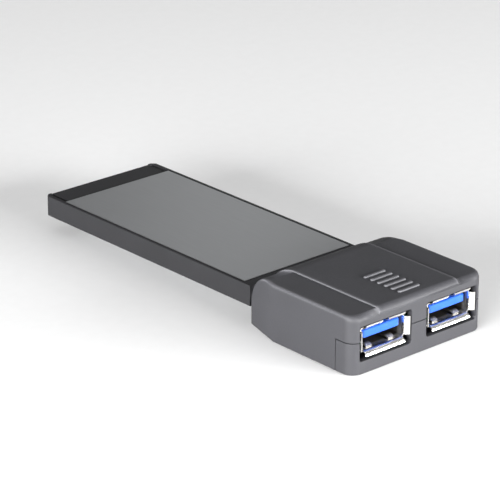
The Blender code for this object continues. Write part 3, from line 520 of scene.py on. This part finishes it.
class ADAPTER_OT_edge_contacts(bpy.types.Operator):
    """Lay one row of gold spring strips in the mouth of the card's nose"""
    bl_idname = "adapter.edge_contacts"
    bl_label = "Edge contacts"

    def execute(self, context):
        sizes = context.scene.adapter_sizes
        colours = context.scene.adapter_colours
        gold = rolled_metal("gold_flashed_edge_contact", colours.gold_dark, colours.gold_light,
                            0.16, 0.30, 0.05 * MM, 1.2 * MM)
        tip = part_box("card_connector")[1].y - STRIP_SETBACK
        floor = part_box("main_board")[0].z
        for index in range(sizes.contacts):
            middle = (index - (sizes.contacts - 1) / 2) * sizes.pitch
            bm = spring_strip(middle, sizes.strip, tip, floor)
            new_piece("edge_contact_" + str(index + 1), bm, gold)
        return {"FINISHED"}


class ADAPTER_OT_board(bpy.types.Operator):
    """Finish the circuit board and everything soldered to it"""
    bl_idname = "adapter.board"
    bl_label = "Board"

    def execute(self, context):
        epoxy = matt_compound("transfer_moulded_epoxy", "#141414", "#1f1f1f", 0.12 * MM, 0.45, 0.65)
        ferrite = matt_compound("pressed_ferrite", "#2b2b2d", "#3a3a3c", 0.2 * MM, 0.55, 0.75)
        yellow = matt_compound("moulded_capacitor_case", "#c99420", "#dcae3c", 0.2 * MM, 0.40, 0.55)
        laminate = matt_compound("fuse_laminate", "#2d5f38", "#3b7548", 0.3 * MM, 0.40, 0.55)
        can = rolled_metal("drawn_aluminium_can", linear("#c9cacc"), linear("#e2e3e5"), 0.20, 0.34,
                           0.08 * MM, 0.8 * MM)
        dress(solder_mask(), "main_board")
        dress(epoxy, "host_controller", "firmware_chip", "core_regulator")
        dress(can, "controller_crystal")
        dress(yellow, "core_capacitor")
        dress(ferrite, "power_inductor")
        for side in PORTS:
            dress(epoxy, "power_switch_" + side, "surge_array_" + side)
            dress(laminate, "port_fuse_" + side)
            dress(ferrite, "line_choke_" + side)
            dress(can, "bulk_capacitor_" + side)
        return {"FINISHED"}


class ADAPTER_OT_stage(bpy.types.Operator):
    """Lay the floor, hang the lights and set the camera"""
    bl_idname = "adapter.stage"
    bl_label = "Stage"

    def execute(self, context):
        stage = context.scene.adapter_stage
        self.floor()
        self.camera(stage)
        self.light("left_softbox", LEFT_PLACE, SOFTBOX, stage.left_power)
        self.light("right_softbox", RIGHT_PLACE, SOFTBOX, stage.right_power)
        for name, place in GLEAM_PLACES.items():
            self.light("gleam_strip_" + name, place, GLEAM_STRIP, stage.gleam_power)
        self.light("top_softbox", TOP_PLACE, TOP_PANEL, stage.top_power)
        self.sky(stage.sky)
        # the pale floor stays white and the bright lips clip, as under plain studio light
        context.scene.view_settings.view_transform = "Standard"
        return {"FINISHED"}

    @staticmethod
    def floor():
        """Wide plain floor under the housing."""
        bm = bmesh.new()
        bmesh.ops.create_grid(bm, x_segments=4, y_segments=4, size=FLOOR_HALF)
        mesh = bpy.data.meshes.new("floor")
        bm.to_mesh(mesh)
        bm.free()
        mesh.materials.append(painted_floor())
        floor = bpy.data.objects.new("floor", mesh)
        floor.location.z = CAD_BOX[0].z - FLOOR_GAP
        bpy.context.scene.collection.objects.link(floor)

    @staticmethod
    def camera(stage):
        """Camera off the left front corner, a little above, aimed at the middle of the object."""
        data = bpy.data.cameras.new("camera")
        data.lens = stage.lens
        data.clip_start = 0.05
        data.clip_end = 20.0
        camera = bpy.data.objects.new("camera", data)
        camera.location = stage.camera
        target = (CAD_BOX[0] + CAD_BOX[1]) / 2
        camera.rotation_euler = (target - camera.location).to_track_quat("-Z", "Y").to_euler()
        bpy.context.scene.collection.objects.link(camera)
        bpy.context.scene.camera = camera

    @staticmethod
    def light(name, place, size, power):
        """Soft rectangular light aimed at the sockets."""
        data = bpy.data.lights.new(name, "AREA")
        data.shape = "RECTANGLE"
        data.size, data.size_y = size
        data.energy = power
        light = bpy.data.objects.new(name, data)
        light.location = place
        target = Vector((0.0, CAD_BOX[0].y, CAD_BOX[1].z / 2))
        light.rotation_euler = (target - light.location).to_track_quat("-Z", "Y").to_euler()
        bpy.context.scene.collection.objects.link(light)

    @staticmethod
    def sky(strength):
        """Surrounding light, bright near the horizon and dim overhead."""
        world = bpy.data.worlds.new("studio")
        world.use_nodes = True
        bpy.context.scene.world = world
        tree = world.node_tree
        back = tree.nodes["Background"]
        back.inputs["Strength"].default_value = strength
        aim = add(tree, "SeparateXYZ", None, {"Vector": add(tree, "TexCoord").outputs["Generated"]})
        ramp = add(tree, "ValToRGB", None, {"Fac": aim.outputs["Z"]})
        ramp.color_ramp.elements[0].color = linear("#ffffff")
        ramp.color_ramp.elements[1].color = linear("#3a3b3d")
        ramp.color_ramp.elements[1].position = 0.6
        tree.links.new(ramp.outputs["Color"], back.inputs["Color"])


class ADAPTER_PT_panel(bpy.types.Panel):
    """Lists the settings and the steps that dress the adapter"""
    bl_idname = "ADAPTER_PT_panel"
    bl_label = "Card Slot Adapter"
    bl_space_type = "VIEW_3D"
    bl_region_type = "UI"
    bl_category = "Adapter"

    def draw(self, context):
        scene = context.scene
        for group in (scene.adapter_sizes, scene.adapter_colours, scene.adapter_stage):
            for name in type(group).__annotations__:
                self.layout.prop(group, name)
        for step in STEPS:
            self.layout.operator(step.bl_idname)


STEPS = (ADAPTER_OT_housing, ADAPTER_OT_sockets, ADAPTER_OT_card, ADAPTER_OT_edge_contacts,
         ADAPTER_OT_board, ADAPTER_OT_stage)
CLASSES = (ADAPTER_PG_sizes, ADAPTER_PG_colours, ADAPTER_PG_stage, *STEPS, ADAPTER_PT_panel)


def register():
    for made in CLASSES:
        bpy.utils.register_class(made)
    bpy.types.Scene.adapter_sizes = PointerProperty(type=ADAPTER_PG_sizes)
    bpy.types.Scene.adapter_colours = PointerProperty(type=ADAPTER_PG_colours)
    bpy.types.Scene.adapter_stage = PointerProperty(type=ADAPTER_PG_stage)


def unregister():
    del bpy.types.Scene.adapter_stage
    del bpy.types.Scene.adapter_colours
    del bpy.types.Scene.adapter_sizes
    for made in reversed(CLASSES):
        bpy.utils.unregister_class(made)


def main():
    """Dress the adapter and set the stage."""
    register()
    bpy.ops.adapter.housing()
    bpy.ops.adapter.sockets()
    bpy.ops.adapter.card()
    bpy.ops.adapter.edge_contacts()
    bpy.ops.adapter.board()
    bpy.ops.adapter.stage()


if __name__ == "__main__":
    main()
